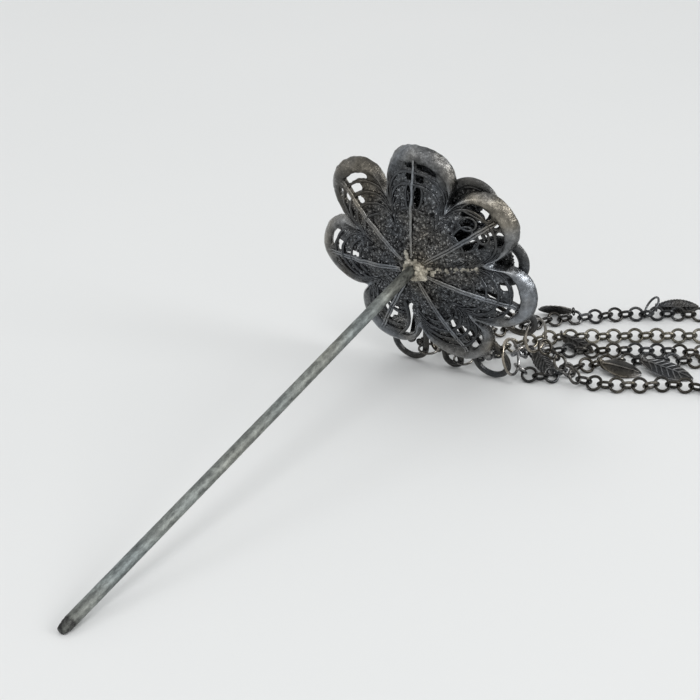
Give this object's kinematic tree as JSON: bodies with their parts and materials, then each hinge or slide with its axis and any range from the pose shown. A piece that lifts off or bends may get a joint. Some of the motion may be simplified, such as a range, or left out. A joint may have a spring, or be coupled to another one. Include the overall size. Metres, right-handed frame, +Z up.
{
  "type": "hairpin",
  "caption": "Hairpin: a round rod with a two-tier filigree flower at its end, hung with long chains that carry small leaf drops.",
  "frame": {"origin": "on the table, below the middle of the whole object's box as it lies", "axes": "+X from the rod's tip towards the flower, +Y across the flower, +Z up from the table"},
  "size_m": [0.165, 0.0852, 0.0473],
  "materials": {
    "blackened_silver": "satin, darkened in the hollows",
    "worn_rod": "mottled satin",
    "pale_solder": "matte",
    "chain_silver": "satin",
    "brassy_chain": "satin",
    "leaf_silver": "satin, darkened in the hollows"
  },
  "bodies": {
    "root": {"pin_rod": "worn_rod", "solder_lump": "pale_solder", "back_petals": "blackened_silver", "front_boss": "blackened_silver", "front_petal_1": "blackened_silver", "front_petal_2": "blackened_silver", "front_petal_3": "blackened_silver", "front_petal_4": "blackened_silver", "front_petal_5": "blackened_silver", "front_petal_6": "blackened_silver", "front_petal_7": "blackened_silver", "front_petal_8": "blackened_silver", "front_petal_9": "blackened_silver", "front_petal_10": "blackened_silver", "front_petal_11": "blackened_silver", "chain_1": "chain_silver", "chain_2": "brassy_chain", "chain_3": "chain_silver", "chain_4": "chain_silver", "chain_5": "chain_silver", "jump_ring_1": "chain_silver", "jump_ring_2": "chain_silver", "jump_ring_3": "chain_silver", "jump_ring_4": "chain_silver", "jump_ring_5": "chain_silver", "leaf_drop_1": "leaf_silver", "leaf_drop_2": "leaf_silver", "leaf_drop_3": "leaf_silver", "leaf_drop_4": "leaf_silver", "leaf_drop_5": "leaf_silver", "leaf_drop_6": "leaf_silver", "leaf_drop_7": "leaf_silver", "leaf_drop_8": "leaf_silver", "leaf_drop_9": "leaf_silver", "leaf_drop_10": "leaf_silver", "leaf_drop_11": "leaf_silver"}
  },
  "joints": []
}
